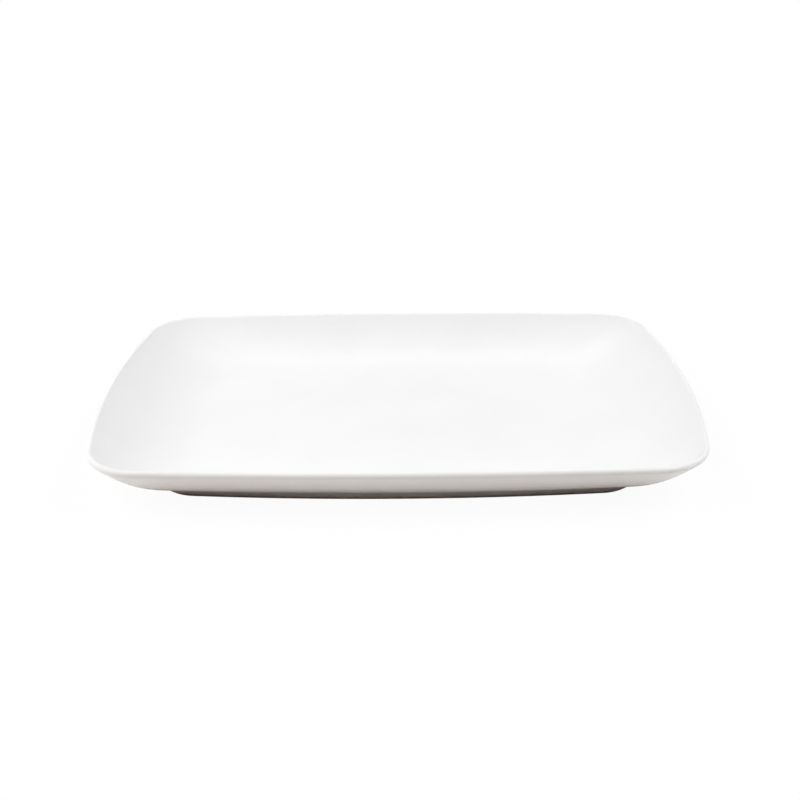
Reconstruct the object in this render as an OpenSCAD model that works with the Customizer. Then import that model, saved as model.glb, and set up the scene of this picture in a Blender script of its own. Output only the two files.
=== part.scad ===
// Rectangular serving tray: a fired ceramic body with a foot ring, coated with glaze.
// The origin is at the middle of the table plane that the foot ring stands on, +X runs along the long sides, +Z is up.

/* [Rim] */
// Overall width, from short end to short end
tray_w = 330; // [280:1:400]
// Overall depth, from long side to long side
tray_d = 222; // [185:1:270]
// Height of the lip above the table
tray_h = 28; // [23:0.5:36]
// Plan radius of the rim's corners
rim_corner_r = 31; // [26:1:44]
// Plan radius of the long sides, which bow outwards
rim_long_r = 2550; // [1500:10:6000]
// Plan radius of the short ends, which bow outwards
rim_short_r = 480; // [400:5:1500]
// Thickness of the round lip
lip_t = 3.6; // [2.8:0.1:5]

/* [Well] */
// Thickness of the floor, with its glaze
floor_t = 5; // [3.5:0.1:8]
// From the rim to the flat floor, on the long sides
floor_inset_long = 32; // [26:0.5:42]
// From the rim to the flat floor, on the short ends
floor_inset_short = 53; // [40:0.5:70]
// Plan radius of the floor's corners
floor_corner_r = 16; // [12:1:30]
// Slope of the inside wall where it meets the lip on the long sides, in degrees
wall_slope_in = 50; // [42:1:65]
// Slope of the inside wall where it meets the lip on the short ends, in degrees
wall_slope_in_short = 38; // [34:1:60]

/* [Foot ring] */
// From the rim to the top of the foot ring, on the long sides
foot_inset_long = 23.5; // [19:0.5:29]
// From the rim to the top of the foot ring, on the short ends
foot_inset_short = 34; // [30:0.5:46]
// Plan radius of the foot ring's corners
foot_corner_r = 23; // [16:1:32]
// Plan radius of the long sides of the foot ring and of the floor
base_long_r = 1260; // [800:10:4000]
// Plan radius of the short ends of the foot ring and of the floor
base_short_r = 470; // [350:5:1500]
// Height of the foot ring under the wall
foot_h = 5.6; // [4:0.1:7]
// Width of the flat edge that stands on the table
foot_edge_w = 4; // [2.5:0.1:6]
// Height of the base panel, inside the foot ring, above the table
recess_h = 3.2; // [2.4:0.1:5]
// Slope of the outside wall where it meets the lip on the long sides, in degrees
wall_slope_out = 51; // [46:1:70]
// Slope of the outside wall where it meets the lip on the short ends, in degrees
wall_slope_out_short = 38; // [34:1:60]

/* [Glaze] */
// Thickness of the glaze
glaze_t = 0.4; // [0.25:0.05:0.7]
// Height above the table at which the glaze stops, so that the foot's edge is bare
glaze_line = 1.2; // [0.8:0.1:1.5]

/* [Hidden] */

// Steps along each stretch of an outline and of a section
end_steps = 3;
corner_steps = 10;
side_steps = 3;
wall_steps = 7;
lip_in_steps = 2;
lip_top_steps = 3;
under_steps = 6;

glaze_white = "#f5f4f1";
biscuit = "#d8cbb8";

lip_r = lip_t / 2;
lip_z = tray_h - lip_r;
floor_z = recess_h + floor_t;

// How far the wall's underside is still above the foot's top where its bend would end
under_rise = 1.5;
// Flat part of the floor that lies inside the floor's edge, as a share of its size
floor_core = 0.9;
// Draft of the foot's side faces, and the rounding of its edges
foot_draft = 0.5;
foot_round = 0.6;
// Clay ground off the fired foot, so that its edge is flat
ground_off = 0.3;
// Width of the hollow fillet between the foot's inner face and the base panel
recess_fillet = 1.8;

foot_w = tray_w - 2 * foot_inset_short;
foot_d = tray_d - 2 * foot_inset_long;

// From the foot's top outline inwards to each line of its section
side_in = foot_round + foot_draft;
edge_out = side_in + glaze_t + foot_round;
edge_in = edge_out + foot_edge_w;
inner_side = edge_in + foot_round + glaze_t;
panel_edge = inner_side + foot_draft + recess_fillet;

// Plan outlines: four bowed sides and four corners, as arcs that are tangent where they meet

function polar(c, r, a) = c + r * [cos(a), sin(a)];

function corner_centre(side_c, side_r, end_c, end_r) =
    let (
        between = end_c - side_c,
        u = between / norm(between),
        along = (side_r ^ 2 - end_r ^ 2 + norm(between) ^ 2) / (2 * norm(between))
    )
    side_c + u * along + [u.y, -u.x] * sqrt(side_r ^ 2 - along ^ 2);

function quarter(w, d, corner_r, long_r, short_r) =
    let (
        side_c = [0, d / 2 - long_r],
        end_c = [w / 2 - short_r, 0],
        c = corner_centre(side_c, long_r - corner_r, end_c, short_r - corner_r),
        a_end = atan2(c.y - end_c.y, c.x - end_c.x),
        a_side = atan2(c.y - side_c.y, c.x - side_c.x)
    )
    [
        for (i = [0:end_steps - 1]) polar(end_c, short_r, a_end * i / end_steps),
        for (i = [0:corner_steps - 1]) polar(c, corner_r, a_end + (a_side - a_end) * i / corner_steps),
        for (i = [0:side_steps]) polar(side_c, long_r, a_side + (90 - a_side) * i / side_steps)
    ];

function outline(w, d, corner_r, long_r, short_r) =
    let (q = quarter(w, d, corner_r, long_r, short_r), m = len(q) - 1)
    [
        for (i = [0:m - 1]) q[i],
        for (i = [0:m - 1]) [-q[m - i].x, q[m - i].y],
        for (i = [0:m - 1]) -q[i],
        for (i = [0:m - 1]) [q[m - i].x, -q[m - i].y]
    ];

// The rim, the floor and the foot's top, each at a distance inwards from its own line
function rim_plan(a) = outline(tray_w - 2 * a, tray_d - 2 * a, rim_corner_r - a, rim_long_r - a, rim_short_r - a);
function foot_plan(a) = outline(foot_w - 2 * a, foot_d - 2 * a, foot_corner_r - a, base_long_r - a, base_short_r - a);
function floor_plan() =
    outline(tray_w - 2 * floor_inset_short, tray_d - 2 * floor_inset_long, floor_corner_r, base_long_r, base_short_r);

// Rings: an outline lifted to a height, and skins: rings listed from the middle outwards

function ring(plan, z) = [for (p = plan) [p.x, p.y, z]];

function bend(a, b, c, s) = [for (j = [0:len(a) - 1]) (1 - s) ^ 2 * a[j] + 2 * s * (1 - s) * b[j] + s ^ 2 * c[j]];

// The middle line of the round lip, and the outward direction at each of its points
lip_core = rim_plan(lip_r);
rim_line = rim_plan(0);
around = [0:len(lip_core) - 1];
lip_out = [for (j = around) (rim_line[j] - lip_core[j]) / lip_r];

// The walls' slopes go over from the long sides to the short ends round the corners
slopes_in = [for (out = lip_out) wall_slope_in + (wall_slope_in_short - wall_slope_in) * out.x ^ 2];
slopes_out = [for (out = lip_out) wall_slope_out + (wall_slope_out_short - wall_slope_out) * out.x ^ 2];

// A ring on the round lip, at an angle above the outward direction for each of its points
function lip_ring(angles) =
    [
        for (j = around)
        let (p = lip_core[j] + lip_out[j] * lip_r * cos(angles[j]))
        [p.x, p.y, lip_z + lip_r * sin(angles[j])]
    ];

// From a ring inwards to where the wall's slope, carried on straight, meets a height
function slope_ring(from, slopes, z) =
    [
        for (j = around)
        let (run = lip_out[j] * (from[j].z - z) / tan(slopes[j]))
        [from[j].x - run.x, from[j].y - run.y, z]
    ];

// The lip's round runs over its highest and its widest point, from the inside wall to the outside wall
lip_angles = [
    for (i = [0:lip_in_steps - 1]) [for (slope = slopes_in) 90 + slope - slope * i / lip_in_steps],
    for (i = [0:lip_top_steps]) [for (slope = slopes_in) 90 - 90 * i / lip_top_steps],
    [for (slope = slopes_out) slope - 90]
];
lip_start = lip_ring(lip_angles[0]);
lip_end = lip_ring(lip_angles[len(lip_angles) - 1]);

floor_ring = ring(floor_plan(), floor_z);
wall_bend = slope_ring(lip_start, slopes_in, floor_z);
under_z = foot_h + under_rise;
under_bend = slope_ring(lip_end, slopes_out, under_z);

// The glazed face from the middle of the floor, over the lip and down to the glaze line on the foot
glazed_skin = [
    ring(floor_plan() * floor_core, floor_z),
    for (i = [0:wall_steps - 1]) bend(floor_ring, wall_bend, lip_start, i / wall_steps),
    for (angles = lip_angles) lip_ring(angles),
    for (i = [1:under_steps]) bend(lip_end, under_bend, ring(foot_plan(0), foot_h), i / under_steps),
    ring(foot_plan(foot_round), foot_h - foot_round),
    ring(foot_plan(side_in), glaze_line)
];

// The glazed face of the base panel, from its middle to the glaze line inside the foot
panel_skin = [
    ring(foot_plan(panel_edge) * floor_core, recess_h),
    ring(foot_plan(panel_edge), recess_h),
    ring(foot_plan(inner_side + foot_draft + recess_fillet / 3), recess_h - recess_fillet / 5),
    ring(foot_plan(inner_side + foot_draft), recess_h - recess_fillet / 2),
    ring(foot_plan(inner_side), glaze_line)
];

// A skin moved along its own normals, upwards in the middle where the distance is positive
function moved(skin, distance) =
    let (last = len(skin) - 1, n = len(skin[0]))
    [
        for (k = [0:last])
        [
            for (j = [0:n - 1])
            let (
                outwards = skin[min(k + 1, last)][j] - skin[max(k - 1, 0)][j],
                sideways = skin[k][(j + 1) % n] - skin[k][(j + n - 1) % n],
                normal = cross(outwards, sideways)
            )
            skin[k][j] + normal / norm(normal) * distance
        ]
    ];

body_top = moved(glazed_skin, -glaze_t);
body_base = moved(panel_skin, glaze_t);

// A solid between an upper and a lower skin, closed along their outer edges
module between(upper, lower) {
    n = len(upper[0]);
    back = [for (k = [len(lower) - 1:-1:0]) lower[k]];
    rings = concat(upper, back);
    last = len(rings) - 1;
    turn = len(upper) - 1;
    function at(k, j) = 2 + k * n + j % n;
    points = [[0, 0, upper[0][0].z], [0, 0, lower[0][0].z], for (r = rings) each r];
    faces = [
        for (j = [0:n - 1]) [0, at(0, j + 1), at(0, j)],
        for (k = [0:last - 1], j = [0:n - 1], half = [0, 1])
            k < turn
            ? (half == 0
                ? [at(k, j), at(k, j + 1), at(k + 1, j + 1)]
                : [at(k, j), at(k + 1, j + 1), at(k + 1, j)])
            : (half == 0
                ? [at(k, j), at(k, j + 1), at(k + 1, j)]
                : [at(k, j + 1), at(k + 1, j + 1), at(k + 1, j)]),
        for (j = [0:n - 1]) [1, at(last, j), at(last, j + 1)]
    ];
    polyhedron(points, faces);
}

// The fired body: floor, wall and foot ring in one, bare only at the foot's edge
module ceramic_body() {
    tip_out = side_in + glaze_t + foot_draft / 2;
    tip_in = edge_in + foot_round - foot_draft / 2;
    past = ground_off / foot_round;
    color(biscuit)
        difference() {
            between(
                concat(body_top, [
                    ring(foot_plan(tip_out), foot_round),
                    ring(foot_plan(edge_out + (edge_out - tip_out) * past), -ground_off)
                ]),
                concat(body_base, [
                    ring(foot_plan(tip_in), foot_round),
                    ring(foot_plan(edge_in - (tip_in - edge_in) * past), -ground_off)
                ])
            );
            translate([-tray_w / 2, -tray_d / 2, -2 * ground_off]) cube([tray_w, tray_d, 2 * ground_off]);
        }
}

// The coat over the well, the lip, the outside wall and the foot's outer face
module outer_glaze() {
    color(glaze_white) between(glazed_skin, body_top);
}

// The coat over the base panel and the foot's inner face
module base_glaze() {
    color(glaze_white) between(body_base, panel_skin);
}

ceramic_body();
outer_glaze();
base_glaze();
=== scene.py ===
import bpy
import numpy as np
from mathutils import Matrix, Vector


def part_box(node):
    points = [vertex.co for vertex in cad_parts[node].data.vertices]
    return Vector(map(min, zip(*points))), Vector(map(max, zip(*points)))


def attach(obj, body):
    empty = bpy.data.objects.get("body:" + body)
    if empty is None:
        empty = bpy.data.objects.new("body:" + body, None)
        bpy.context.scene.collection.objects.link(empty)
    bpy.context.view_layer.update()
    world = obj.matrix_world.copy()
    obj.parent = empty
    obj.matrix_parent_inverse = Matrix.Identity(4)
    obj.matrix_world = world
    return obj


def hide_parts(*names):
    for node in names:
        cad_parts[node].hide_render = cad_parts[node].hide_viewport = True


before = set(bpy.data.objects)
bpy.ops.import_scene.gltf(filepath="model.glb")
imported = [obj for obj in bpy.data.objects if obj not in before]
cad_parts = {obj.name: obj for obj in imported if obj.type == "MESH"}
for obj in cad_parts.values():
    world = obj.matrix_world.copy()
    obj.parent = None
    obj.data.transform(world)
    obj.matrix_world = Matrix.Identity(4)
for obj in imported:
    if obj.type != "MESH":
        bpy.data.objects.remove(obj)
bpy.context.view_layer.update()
print("frame loaded:", sorted(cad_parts))

# Lengths are in metres and angles in degrees. The overall sizes are those of the CAD nodes.
trayLow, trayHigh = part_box("outer_glaze")
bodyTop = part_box("ceramic_body")[1].z
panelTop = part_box("base_glaze")[1].z
trayWidth = trayHigh.x - trayLow.x
trayDepth = trayHigh.y - trayLow.y
trayHeight = trayHigh.z
glazeThick = trayHeight - bodyTop
glazeLine = trayLow.z                # the glaze stops this far above the table
panelHeight = panelTop - glazeThick  # underside of the base panel

rim = {
    "cornerRadius": 0.031,
    "longRadius": 2.55,        # the long sides bow outwards on this radius
    "shortRadius": 0.48,       # and the short ends on this one
    "lipThick": 0.0036,
    "slopesIn": (50.0, 38.0),  # how steep the wall is at the lip, on the long sides and on the short ends
    "slopesOut": (51.0, 38.0),
}

well = {
    "floorHeight": 0.0082,
    "insetLong": 0.032,   # from the rim to the flat floor, on the long sides
    "insetShort": 0.053,  # and on the short ends
    "cornerRadius": 0.016,
}

foot = {
    "insetLong": 0.0235,
    "insetShort": 0.034,
    "cornerRadius": 0.023,
    "longRadius": 1.26,
    "shortRadius": 0.47,
    "height": 0.0056,
    "underRise": 0.0015,  # how far above the foot's top the wall's bend aims
    "draft": 0.0005,
    "round": 0.0006,
    "edgeWidth": 0.004,
    "recessFillet": 0.0018,
}

# Rings along the section, for the surface that shows and for the clay under it
fineRings = {"floor": 22, "wall": 44, "lip": 24, "under": 30, "fillet": 6, "side": 5, "bead": 5}
clayRings = {"floor": 8, "wall": 18, "lip": 12, "under": 14, "fillet": 4, "side": 3, "tip": 7}
quarterSteps = {"end": 20, "corner": 48, "side": 28}  # points along a quarter of an outline
discStart = 0.03                                      # share of the quarter turn at a disc's first ring

# Widths across the foot, inwards from its top outline
footSide = foot["round"] + foot["draft"]
footEdgeOut = footSide + glazeThick + foot["round"]
footEdgeIn = footEdgeOut + foot["edgeWidth"]
footInner = footEdgeIn + foot["round"] + glazeThick
panelEdge = footInner + foot["draft"] + foot["recessFillet"]


# Arc: centre plus radius times cosine and sine, from one angle up to but not at the other.
def arc(centre, radius, start, end, steps):
    angle = np.linspace(start, end, steps, endpoint=False)
    return centre + radius * np.stack([np.cos(angle), np.sin(angle)], axis=1)


# Outline: four bowed sides and four corner arcs, tangent where they meet. A corner's centre is where the
# circles about the two side centres cross, each a corner radius smaller than its side.
def outline(width, depth, cornerRadius, longRadius, shortRadius):
    sideCentre = np.array([0.0, depth / 2 - longRadius])
    endCentre = np.array([width / 2 - shortRadius, 0.0])
    toSide = longRadius - cornerRadius
    toEnd = shortRadius - cornerRadius
    gap = endCentre - sideCentre
    span = np.hypot(*gap)
    unit = gap / span
    along = (toSide**2 - toEnd**2 + span**2) / (2 * span)
    across = np.sqrt(toSide**2 - along**2)
    corner = sideCentre + unit * along + np.array([unit[1], -unit[0]]) * across
    endAngle = np.arctan2(corner[1] - endCentre[1], corner[0] - endCentre[0])
    sideAngle = np.arctan2(corner[1] - sideCentre[1], corner[0] - sideCentre[0])
    quarter = np.concatenate([
        arc(endCentre, shortRadius, 0.0, endAngle, quarterSteps["end"]),
        arc(corner, cornerRadius, endAngle, sideAngle, quarterSteps["corner"]),
        arc(sideCentre, longRadius, sideAngle, np.pi / 2, quarterSteps["side"]),
        [[0.0, depth / 2]],
    ])
    forth = quarter[:-1]
    back = quarter[:0:-1]
    return np.concatenate([forth, back * [-1, 1], -forth, back * [1, -1]])


# Radii of the rim or the foot, less an even inset.
def radiiOf(form, inset):
    return [form[name] - inset for name in ("cornerRadius", "longRadius", "shortRadius")]


# Rim, foot and floor outlines, the first two drawn in by an even inset. The floor bows as the foot does.
def rimPlan(inset):
    return outline(trayWidth - 2 * inset, trayDepth - 2 * inset, *radiiOf(rim, inset))


def footPlan(inset):
    width = trayWidth - 2 * (foot["insetShort"] + inset)
    depth = trayDepth - 2 * (foot["insetLong"] + inset)
    return outline(width, depth, *radiiOf(foot, inset))


def floorPlan():
    width = trayWidth - 2 * well["insetShort"]
    depth = trayDepth - 2 * well["insetLong"]
    return outline(width, depth, well["cornerRadius"], foot["longRadius"], foot["shortRadius"])


# Ring: an outline at one height.
def ring(plan, z):
    return np.column_stack([plan, np.full(len(plan), z)])


# Foot rings: the foot's outline drawn in by each inset, at each height.
def footRings(insets, heights):
    return np.stack([ring(footPlan(inset), z) for inset, z in zip(insets, heights)])


# Lip's middle line, and the outward direction at each of its points
lipRadius = rim["lipThick"] / 2
lipCore = rimPlan(lipRadius)
lipOut = (rimPlan(0.0) - lipCore) / lipRadius


# Slopes round the rim: from the long sides' slope to the short ends', by the square of the outward
# direction's x.
def slopesRound(slopes):
    return slopes[0] + (slopes[1] - slopes[0]) * lipOut[:, 0] ** 2


# Lip ring: the middle line moved outwards by radius times cosine and raised by radius times sine.
def lipRing(angles):
    turn = np.radians(angles)
    plan = lipCore + lipOut * lipRadius * np.cos(turn)[:, None]
    return np.column_stack([plan, trayHeight - lipRadius + lipRadius * np.sin(turn)])


# Slope ring: inwards from a ring to where the walls, straight at their slopes, reach a height. A run is the
# drop over the slope's tangent.
def slopeRing(start, slopes, z):
    run = (start[:, 2] - z) / np.tan(np.radians(slopes))
    return ring(start[:, :2] - lipOut * run[:, None], z)


# Bend: a parabola between two rings whose end slopes meet at a third, for all shares at once. It is the
# first times the square of one minus the share, plus the third times twice the share times one minus it,
# plus the last times the share's square.
def bend(first, meeting, last, shares):
    share = shares[:, None, None]
    return (1 - share) ** 2 * first + 2 * share * (1 - share) * meeting + share**2 * last


# Disc: an outline scaled from near its middle to its edge by the sine of even steps, at one height.
def disc(plan, z, steps):
    shares = np.sin(np.linspace(discStart, 1.0, steps, endpoint=False) * np.pi / 2)
    return np.stack([ring(plan * share, z) for share in shares])


# Hollow fillet: a quarter ellipse between a flat face and the foot's side, by sine across and one minus
# cosine down.
def fillet(start, across, z, drop, steps):
    turn = np.linspace(0, np.pi / 2, steps + 1)[1:]
    return footRings(start + across * np.sin(turn), z - drop * (1 - np.cos(turn)))


# Foot side: straight rings from one inset and height to another.
def footWall(fromInset, toInset, fromZ, toZ, steps):
    share = np.linspace(0, 1, steps + 1)[1:]
    return footRings(fromInset + (toInset - fromInset) * share, fromZ + (toZ - fromZ) * share)


# Bead: the glaze's edge rolls from its face in to the clay, by one minus cosine across and one minus sine
# above the line where it stops.
def bead(inset, inwards):
    turn = np.linspace(0, np.pi / 2, fineRings["bead"], endpoint=False)[1:]
    across = inwards * glazeThick * (1 - np.cos(turn))
    return footRings(inset + across, glazeLine + glazeThick * (1 - np.sin(turn)))


# Bare tip: a quarter circle from the foot's side down to its flat edge, by cosine across and one minus sine
# above the table.
def bareTip(edge, outwards):
    turn = np.linspace(0, np.pi / 2, clayRings["tip"])
    across = outwards * foot["round"] * np.cos(turn)
    return footRings(edge - across, foot["round"] * (1 - np.sin(turn)))


# Glazed face: floor disc, parabola up the wall, circle over the lip, parabola down the outside, fillet and
# foot side.
def glazedFace(rings, endZ):
    slopesIn = slopesRound(rim["slopesIn"])
    slopesOut = slopesRound(rim["slopesOut"])
    lipAngles = np.linspace(90 + slopesIn, slopesOut - 90, rings["lip"] + 1)
    lip = np.stack([lipRing(angles) for angles in lipAngles])
    floorZ = well["floorHeight"]
    wallBend = slopeRing(lip[0], slopesIn, floorZ)
    underBend = slopeRing(lip[-1], slopesOut, foot["height"] + foot["underRise"])
    footTop = ring(footPlan(0.0), foot["height"])
    wallShares = np.linspace(0, 1, rings["wall"], endpoint=False)
    underShares = np.linspace(0, 1, rings["under"] + 1)[1:]
    sideTop = foot["height"] - foot["round"]
    return np.concatenate([
        disc(floorPlan(), floorZ, rings["floor"]),
        bend(ring(floorPlan(), floorZ), wallBend, lip[0], wallShares),
        lip,
        bend(lip[-1], underBend, footTop, underShares),
        fillet(0.0, foot["round"], foot["height"], foot["round"], rings["fillet"]),
        footWall(foot["round"], footSide, sideTop, endZ, rings["side"]),
    ])


# Panel face: the base panel's disc, the hollow fillet and the foot's inner side.
def panelFace(rings, endZ):
    drop = foot["recessFillet"] / 2  # the fillet is half as high as it is wide
    innerTop = footInner + foot["draft"]
    return np.concatenate([
        disc(footPlan(panelEdge), panelHeight, rings["floor"]),
        [ring(footPlan(panelEdge), panelHeight)],
        fillet(panelEdge, -foot["recessFillet"], panelHeight, drop, rings["fillet"]),
        footWall(innerTop, footInner, panelHeight - drop, endZ, rings["side"]),
    ])


# Normals: the cross product of the step outwards and the step around, from the neighbours on both sides.
def normalsOf(skin):
    outwards = np.gradient(skin, axis=0)
    around = np.roll(skin, -1, axis=1) - np.roll(skin, 1, axis=1)
    normals = np.cross(outwards, around)
    return normals / np.linalg.norm(normals, axis=2, keepdims=True)


firing = {
    "wander": 0.00012,     # how far the fired surface strays from the true form
    "length": 0.075,       # from crest to crest
    "spread": (0.7, 1.8),  # times that length, for the shortest and the longest wave
    "waves": 7,
    "topSeed": 3,
    "baseSeed": 4,
}


# Fired skin: the true form moved along its normals by the wander, times a sum of slow sine waves in seeded
# directions over the root of their count, times the square of the share climbed from a still height to a
# free one, so that the foot stays true.
def fired(skin, seed, stillZ, freeZ):
    rng = np.random.default_rng(seed)
    total = np.zeros(skin.shape[:2])
    for _ in range(firing["waves"]):
        way = rng.normal(size=3)
        length = firing["length"] * rng.uniform(*firing["spread"])
        way *= 2 * np.pi / (length * np.linalg.norm(way))
        total += np.sin(skin @ way + rng.uniform(0, 2 * np.pi))
    fade = np.clip((skin[..., 2] - stillZ) / (freeZ - stillZ), 0, 1) ** 2
    stray = firing["wander"] * fade * total / np.sqrt(firing["waves"])
    return skin + normalsOf(skin) * stray[..., None]


# Shell: an upper and a lower skin, both listed from the middle outwards, joined along their outer edges.
# Quads run from each ring to the next one, and a fan of triangles about a point closes each middle.
def shell(name, upper, lower):
    rings = np.concatenate([upper, lower[::-1]])
    count, around = rings.shape[:2]
    middles = np.array([upper[0].mean(axis=0), lower[0].mean(axis=0)])
    points = np.concatenate([rings.reshape(-1, 3), middles])
    here = np.arange(count * around).reshape(count, around)
    beside = np.roll(here, -1, axis=1)
    quads = np.stack([here[:-1], here[1:], beside[1:], beside[:-1]], axis=-1).reshape(-1, 4)
    upperMiddle = np.full(around, count * around)
    upperFan = np.stack([upperMiddle, here[0], beside[0]], axis=-1)
    lowerFan = np.stack([upperMiddle + 1, beside[-1], here[-1]], axis=-1)
    corners = np.concatenate([quads.ravel(), upperFan.ravel(), lowerFan.ravel()]).astype(np.int32)
    sizes = np.concatenate([np.full(len(quads), 4), np.full(2 * around, 3)])
    starts = np.concatenate([[0], np.cumsum(sizes)[:-1]]).astype(np.int32)
    mesh = bpy.data.meshes.new(name)
    mesh.vertices.add(len(points))
    mesh.vertices.foreach_set("co", points.astype(np.float32).ravel())
    mesh.loops.add(len(corners))
    mesh.loops.foreach_set("vertex_index", corners)
    mesh.polygons.add(len(sizes))
    mesh.polygons.foreach_set("loop_start", starts)
    mesh.polygons.foreach_set("use_smooth", np.ones(len(sizes), dtype=bool))
    mesh.update(calc_edges=True)
    piece = bpy.data.objects.new(name, mesh)
    bpy.context.scene.collection.objects.link(piece)
    print("made", name, "with", int((sizes - 2).sum()), "triangles")
    return piece


beadTop = glazeLine + glazeThick
topSkin = fired(glazedFace(fineRings, beadTop), firing["topSeed"], foot["height"], well["floorHeight"])
topClay = fired(glazedFace(clayRings, glazeLine), firing["topSeed"], foot["height"], well["floorHeight"])
topClay = topClay - normalsOf(topClay) * glazeThick
baseSkin = fired(panelFace(fineRings, beadTop), firing["baseSeed"], glazeLine, panelHeight)
baseClay = fired(panelFace(clayRings, glazeLine), firing["baseSeed"], glazeLine, panelHeight)
baseClay = baseClay + normalsOf(baseClay) * glazeThick

outerGlaze = shell("outerGlaze", np.concatenate([topSkin, bead(footSide, 1)]), topClay)
baseGlaze = shell("baseGlaze", baseClay, np.concatenate([baseSkin, bead(footInner, -1)]))
ceramicBody = shell(
    "ceramicBody",
    np.concatenate([topClay, bareTip(footEdgeOut, 1)]),
    np.concatenate([baseClay, bareTip(footEdgeIn, -1)]),
)


# Settled glaze: full on level surfaces and thin on steep ones and over the lip. It is the upright part of
# the mesh's own normal, times one minus the share of the lip's round that a point has climbed.
def settle(piece):
    count = len(piece.data.vertices)
    normals = np.empty(count * 3, dtype=np.float32)
    points = np.empty(count * 3, dtype=np.float32)
    piece.data.vertices.foreach_get("normal", normals)
    piece.data.vertices.foreach_get("co", points)
    climbed = np.clip((points[2::3] - trayHeight + rim["lipThick"]) / rim["lipThick"], 0, 1)
    layer = piece.data.attributes.new("settled", "FLOAT", "POINT")
    layer.data.foreach_set("value", (np.abs(normals[2::3]) * (1 - climbed)).astype(np.float32))


settle(outerGlaze)
settle(baseGlaze)

glaze = {
    "fullColour": (0.91, 0.91, 0.91, 1),
    "thinColour": (0.905, 0.899, 0.888, 1),  # the clay warms the glaze where it is thin
    "cloudColour": (0.892, 0.894, 0.896, 1),
    "cloudSpan": (0.4, 0.7),                 # cloud values over which that colour comes in
    "roughness": (0.3, 0.38),
    "roughSpan": (0.3, 0.7),                 # cloud values over which it gets rougher
    "cloudScale": 26.0,                      # clouds to a metre
    "grainScale": 420.0,
    "pitScale": 130.0,
    "bumpDepth": 0.00006,
    "grainShare": 0.35,                      # the grain's height as a share of a pit's depth
}

biscuit = {
    "paleColour": (0.76, 0.675, 0.56, 1),
    "darkColour": (0.6, 0.5, 0.39, 1),
    "cloudSpan": (0.35, 0.65),               # cloud values from the pale colour to the dark one
    "speckColour": (0.3, 0.2, 0.13, 1),      # in the pits
    "roughness": (0.82, 0.95),
    "roughSpan": (0.3, 0.7),                 # grain values over which it gets rougher
    "cloudScale": 90.0,
    "grainScale": 2600.0,
    "pitScale": 700.0,
    "bumpDepth": 0.00012,
    "grainShare": 1.0,
}

# What all kiln marks have in common
kiln = {
    "cloudDetail": 3.0,
    "grainDetail": 4.0,
    "pitReach": (0.02, 0.09),  # from a cell's point to the end of a pit's flat middle, and to its edge
    "pitsAbove": 0.8,          # a cell has a pit if its random colour is above this
}


# New material, with its node tree and the shader that the tree starts with.
def newMaterial(name):
    material = bpy.data.materials.new(name)
    material.use_nodes = True
    return material, material.node_tree, material.node_tree.nodes["Principled BSDF"]


# Feed: links another node's output to a socket, or sets the socket to a plain number, vector or colour.
def feed(tree, value, socket):
    if isinstance(value, bpy.types.NodeSocket):
        tree.links.new(value, socket)
    else:
        socket.default_value = value


# Maths: one operation on numbers, such as a product, a difference or the greater of two.
def maths(tree, operation, *values):
    node = tree.nodes.new("ShaderNodeMath")
    node.operation = operation
    for value, socket in zip(values, node.inputs):
        feed(tree, value, socket)
    return node.outputs["Value"]


# Vector maths: the same on vectors, each part by itself, or a vector's length.
def vectorMaths(tree, operation, *values):
    node = tree.nodes.new("ShaderNodeVectorMath")
    node.operation = operation
    for value, socket in zip(values, node.inputs):
        feed(tree, value, socket)
    return node.outputs["Value" if operation == "LENGTH" else "Vector"]


# Range: a value carried from one span to another, in a straight line or a soft step, held at its ends.
def rangeOf(tree, value, low, high, toLow, toHigh, step="LINEAR"):
    span = tree.nodes.new("ShaderNodeMapRange")
    span.interpolation_type = step
    for name, number in (("From Min", low), ("From Max", high), ("To Min", toLow), ("To Max", toHigh)):
        span.inputs[name].default_value = number
    feed(tree, value, span.inputs["Value"])
    return span.outputs["Result"]


# Mixed colour: from the first colour to the second by a linked share.
def mixColours(tree, share, first, second):
    mix = tree.nodes.new("ShaderNodeMix")
    mix.data_type = "RGBA"
    feed(tree, share, mix.inputs["Factor"])
    feed(tree, first, mix.inputs[6])   # colour A
    feed(tree, second, mix.inputs[7])  # colour B
    return mix.outputs[2]              # the mixed colour


# Mixed shader: from the first shader to the second by a linked share.
def mixShaders(tree, share, first, second):
    mix = tree.nodes.new("ShaderNodeMixShader")
    feed(tree, share, mix.inputs[0])
    feed(tree, first.outputs[0], mix.inputs[1])
    feed(tree, second.outputs[0], mix.inputs[2])
    return mix


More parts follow.
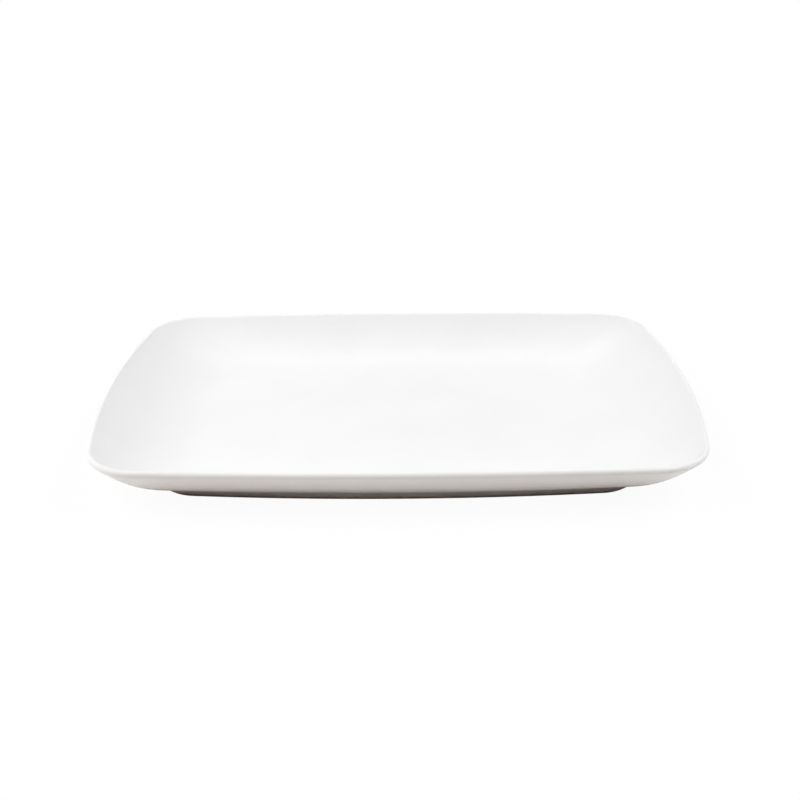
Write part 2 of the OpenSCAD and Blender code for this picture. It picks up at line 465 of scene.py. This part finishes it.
# Kiln marks, shared by glaze and clay: slow clouds, fine grain and scattered pits, each from 0 to 1. A pit
# is where the distance to a cell's point is small, in the one cell of five whose random colour is high.
def kilnMarks():
    group = bpy.data.node_groups.new("kilnMarks", "ShaderNodeTree")
    group.interface.new_socket("Vector", in_out="INPUT", socket_type="NodeSocketVector")
    for name in ("Cloud Scale", "Grain Scale", "Pit Scale"):
        group.interface.new_socket(name, in_out="INPUT", socket_type="NodeSocketFloat")
    for name in ("Cloud", "Grain", "Pits"):
        group.interface.new_socket(name, in_out="OUTPUT", socket_type="NodeSocketFloat")
    given = group.nodes.new("NodeGroupInput").outputs
    result = group.nodes.new("NodeGroupOutput").inputs
    for name, detail in (("Cloud", kiln["cloudDetail"]), ("Grain", kiln["grainDetail"])):
        noise = group.nodes.new("ShaderNodeTexNoise")
        feed(group, detail, noise.inputs["Detail"])
        feed(group, given["Vector"], noise.inputs["Vector"])
        feed(group, given[name + " Scale"], noise.inputs["Scale"])
        feed(group, noise.outputs["Fac"], result[name])
    cells = group.nodes.new("ShaderNodeTexVoronoi")
    feed(group, given["Vector"], cells.inputs["Vector"])
    feed(group, given["Pit Scale"], cells.inputs["Scale"])
    near = rangeOf(group, cells.outputs["Distance"], *kiln["pitReach"], 1, 0, "SMOOTHSTEP")
    chance = group.nodes.new("ShaderNodeSeparateColor")
    feed(group, cells.outputs["Color"], chance.inputs["Color"])
    few = maths(group, "GREATER_THAN", chance.outputs["Red"], kiln["pitsAbove"])
    feed(group, maths(group, "MULTIPLY", near, few), result["Pits"])
    return group


# Marks of one finish: the shared group at that finish's scales, on the piece's own coordinates.
def addMarks(tree, finish):
    coords = tree.nodes.new("ShaderNodeTexCoord")
    marks = tree.nodes.new("ShaderNodeGroup")
    marks.node_tree = kilnGroup
    feed(tree, finish["cloudScale"], marks.inputs["Cloud Scale"])
    feed(tree, finish["grainScale"], marks.inputs["Grain Scale"])
    feed(tree, finish["pitScale"], marks.inputs["Pit Scale"])
    feed(tree, coords.outputs["Object"], marks.inputs["Vector"])
    return marks.outputs


# Bump: grain times its share, less the pits, times the depth, as a height in metres.
def addBump(tree, marks, finish, shader):
    sunk = rangeOf(tree, marks["Pits"], 0, 1, 0, -1)
    height = maths(tree, "MULTIPLY_ADD", marks["Grain"], finish["grainShare"], sunk)
    bump = tree.nodes.new("ShaderNodeBump")
    feed(tree, finish["bumpDepth"], bump.inputs["Distance"])
    feed(tree, height, bump.inputs["Height"])
    feed(tree, bump.outputs["Normal"], shader.inputs["Normal"])


# White glaze: thin to full colour by how far it has settled, then towards the cloud colour by the clouds,
# which make it rougher too.
def glazeMaterial():
    material, tree, shader = newMaterial("whiteGlaze")
    marks = addMarks(tree, glaze)
    settled = tree.nodes.new("ShaderNodeAttribute")
    settled.attribute_name = "settled"
    tone = mixColours(tree, settled.outputs["Fac"], glaze["thinColour"], glaze["fullColour"])
    cloudy = rangeOf(tree, marks["Cloud"], *glaze["cloudSpan"], 0, 1)
    rough = rangeOf(tree, marks["Cloud"], *glaze["roughSpan"], *glaze["roughness"])
    feed(tree, mixColours(tree, cloudy, tone, glaze["cloudColour"]), shader.inputs["Base Color"])
    feed(tree, rough, shader.inputs["Roughness"])
    addBump(tree, marks, glaze, shader)
    return material


# Bare biscuit: pale to dark by the clouds, then the speck colour in the pits, and rougher on the grain.
def biscuitMaterial():
    material, tree, shader = newMaterial("bareBiscuit")
    marks = addMarks(tree, biscuit)
    worn = rangeOf(tree, marks["Cloud"], *biscuit["cloudSpan"], 0, 1)
    tone = mixColours(tree, worn, biscuit["paleColour"], biscuit["darkColour"])
    rough = rangeOf(tree, marks["Grain"], *biscuit["roughSpan"], *biscuit["roughness"])
    feed(tree, mixColours(tree, marks["Pits"], tone, biscuit["speckColour"]), shader.inputs["Base Color"])
    feed(tree, rough, shader.inputs["Roughness"])
    addBump(tree, marks, biscuit, shader)
    return material


kilnGroup = kilnMarks()
glazeFinish = glazeMaterial()
biscuitFinish = biscuitMaterial()
for piece, node, finish, slot in (
    (outerGlaze, "outer_glaze", glazeFinish, "white_glaze"),
    (ceramicBody, "ceramic_body", biscuitFinish, "biscuit"),
    (baseGlaze, "base_glaze", glazeFinish, "white_glaze"),
):
    piece.data.materials.append(finish)
    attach(piece, "root")
    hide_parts(node)
print("finishes set")

view = {
    "elevation": 24.875,
    "turn": 0.262,
    "roll": -0.54,
    "distance": 0.6296,
    "target": (0.0013, -0.02542),  # on the plane of the rim's top
    "focusPixels": 1144.0,         # focal length in pixels of the picture
    "pictureWidth": 800,
    "sensorWidth": 36.0,           # in millimetres
}


# Camera: looks down at the target along the elevation, turned about the vertical, then rolled about its own
# axis. Its lens is the focal length in pixels, times the sensor's width over the picture's.
def placeCamera():
    tilt, turn, roll = np.radians([view["elevation"], view["turn"], view["roll"]])
    back = np.array([np.sin(turn) * np.cos(tilt), -np.cos(turn) * np.cos(tilt), np.sin(tilt)])
    level = np.array([np.cos(turn), np.sin(turn), 0.0])
    upright = np.cross(back, level)
    right = np.cos(roll) * level + np.sin(roll) * upright
    up = np.cos(roll) * upright - np.sin(roll) * level
    place = np.array([*view["target"], trayHeight]) + back * view["distance"]
    data = bpy.data.cameras.new("camera")
    data.sensor_width = view["sensorWidth"]
    data.lens = view["focusPixels"] * view["sensorWidth"] / view["pictureWidth"]
    camera = bpy.data.objects.new("camera", data)
    bpy.context.scene.collection.objects.link(camera)
    rows = np.column_stack([right, up, back, place])
    camera.matrix_world = Matrix([*rows.tolist(), [0, 0, 0, 1]])
    bpy.context.scene.camera = camera


placeCamera()
print("camera set")

stage = {
    "floorSize": 14.0,
    "bounceColour": (0.88, 0.84, 0.8, 1),   # of the soft light that the floor throws up
    "paintedShadeColour": (0.22, 0.08, 0.018, 1),  # painted shade: the floor's dark warm brown under the tray, which darkens the tray's underside and foot
    "paintedShadeCorner": 0.06,                    # how round the painted shade's corners are
    "paintedShadeReach": (-0.027, 0.002),          # where the painted shade ends, from the rim outwards
    "shadowShare": 0.05,                    # how much the camera sees of the tray's shadow on the floor
    "shadowReach": (0.03, 0.2),             # where that share fades out, from the rim outwards
    "ambient": 0.01,
}

plainWhite = (1, 1, 1, 1)
coolWhite = (0.995, 0.995, 1)
warmWhite = (1, 0.998, 0.998)
# Each lamp's size across and along, its radiance, its colour and its place
lamps = {
    "leftSoft": (1.25, 0.58, 2.67, coolWhite, (-0.8, 0, 1.02)),
    "rightSoft": (1.25, 0.58, 4.38, warmWhite, (0.8, 0, 1.02)),
    "frontLeft": (0.8, 0.58, 2.62, warmWhite, (-0.58, -0.58, 1.02)),
    "leftLow": (0.8, 0.5, 4.03, coolWhite, (-1.1, 0, 0.5)),
    "rightLow": (0.8, 0.5, 1.87, warmWhite, (1.1, 0, 0.5)),
}


# Beyond the rim: how far a floor point lies outside a box of the rim's size with its corners rounded. With
# past as the point's size less the box's half without its rounding, it is the length of past's positive
# part, plus the greater part of past where that is negative, less the radius.
def beyondRim(tree):
    radius = stage["paintedShadeCorner"]
    coords = tree.nodes.new("ShaderNodeTexCoord")
    size = vectorMaths(tree, "ABSOLUTE", coords.outputs["Object"])
    past = vectorMaths(tree, "SUBTRACT", size, (trayWidth / 2 - radius, trayDepth / 2 - radius, 0))
    outside = vectorMaths(tree, "LENGTH", vectorMaths(tree, "MAXIMUM", past, (0, 0, 0)))
    parts = tree.nodes.new("ShaderNodeSeparateXYZ")
    feed(tree, past, parts.inputs[0])
    greater = maths(tree, "MAXIMUM", parts.outputs["X"], parts.outputs["Y"])
    inside = maths(tree, "MINIMUM", greater, 0)
    return maths(tree, "SUBTRACT", maths(tree, "ADD", outside, inside), radius)


# Rays: whether a ray is the camera's own, and whether a reflection or glass sent it on, each 0 or 1.
def seenRays(tree):
    path = tree.nodes.new("ShaderNodeLightPath").outputs
    mirrored = maths(tree, "MAXIMUM", path["Is Glossy Ray"], path["Is Transmission Ray"])
    return path["Is Camera Ray"], mirrored


# Floor: a wide one-sided plane. The camera sees it white with a faint shadow near the tray. Reflections
# see it white but for the painted shade under the tray. The soft light that it throws up is pale, and under
# the tray it is painted shade, a dark warm brown that darkens the tray's underside and foot.
def makeFloor():
    half = stage["floorSize"] / 2
    corners = [(-half, -half, 0), (half, -half, 0), (half, half, 0), (-half, half, 0)]
    mesh = bpy.data.meshes.new("floor")
    mesh.from_pydata(corners, [], [(0, 1, 2, 3)])
    floor = bpy.data.objects.new("floor", mesh)
    bpy.context.scene.collection.objects.link(floor)
    material, tree, bounce = newMaterial("paleFloor")
    away = beyondRim(tree)
    clearOf = rangeOf(tree, away, *stage["paintedShadeReach"], 0, 1)
    shadowed = rangeOf(tree, away, *stage["shadowReach"], stage["shadowShare"], 0)
    # Painted shade: the light that the floor throws up turns from pale to a dark warm brown under the tray
    bounceWithPaintedShade = mixColours(tree, clearOf, stage["paintedShadeColour"], stage["bounceColour"])
    feed(tree, bounceWithPaintedShade, bounce.inputs["Base Color"])
    feed(tree, 1, bounce.inputs["Roughness"])
    feed(tree, 0, bounce.inputs["Specular IOR Level"])
    lit = tree.nodes.new("ShaderNodeBsdfDiffuse")
    feed(tree, plainWhite, lit.inputs["Color"])
    white = tree.nodes.new("ShaderNodeEmission")
    clear = tree.nodes.new("ShaderNodeBsdfTransparent")
    side = tree.nodes.new("ShaderNodeNewGeometry")
    direct, mirrored = seenRays(tree)
    shown = mixShaders(tree, shadowed, white, lit)
    reflected = mixShaders(tree, clearOf, bounce, white)
    unseen = mixShaders(tree, mirrored, bounce, reflected)
    either = mixShaders(tree, direct, unseen, shown)
    oneSided = mixShaders(tree, side.outputs["Backfacing"], either, clear)
    feed(tree, oneSided.outputs[0], tree.nodes["Material Output"].inputs["Surface"])
    mesh.materials.append(material)


# Lamp: a soft rectangle aimed at the tray, whose power is pi times its area times its radiance.
def makeLamp(name, across, along, radiance, colour, place):
    data = bpy.data.lights.new(name, "AREA")
    data.shape = "RECTANGLE"
    data.size = across
    data.size_y = along
    data.energy = np.pi * across * along * radiance
    data.color = colour
    lamp = bpy.data.objects.new(name, data)
    lamp.location = place
    lamp.rotation_euler = (-Vector(place)).to_track_quat("-Z", "Y").to_euler()
    lamp.visible_glossy = False                           # no lamp shows in the glaze
    data.cycles.use_multiple_importance_sampling = False  # else some of its glare still does
    bpy.context.scene.collection.objects.link(lamp)


# Sky: white where the camera or a reflection sees it, and faint as a light.
def makeSky():
    world = bpy.data.worlds.new("studio")
    world.use_nodes = True
    tree = world.node_tree
    faint = tree.nodes["Background"]
    feed(tree, plainWhite, faint.inputs["Color"])
    feed(tree, stage["ambient"], faint.inputs["Strength"])
    white = tree.nodes.new("ShaderNodeBackground")
    feed(tree, plainWhite, white.inputs["Color"])
    either = mixShaders(tree, maths(tree, "MAXIMUM", *seenRays(tree)), faint, white)
    feed(tree, either.outputs[0], tree.nodes["World Output"].inputs["Surface"])
    bpy.context.scene.world = world


makeFloor()
makeSky()
for name, values in lamps.items():
    makeLamp(name, *values)
bpy.context.scene.view_settings.view_transform = "Standard"
print("stage set")
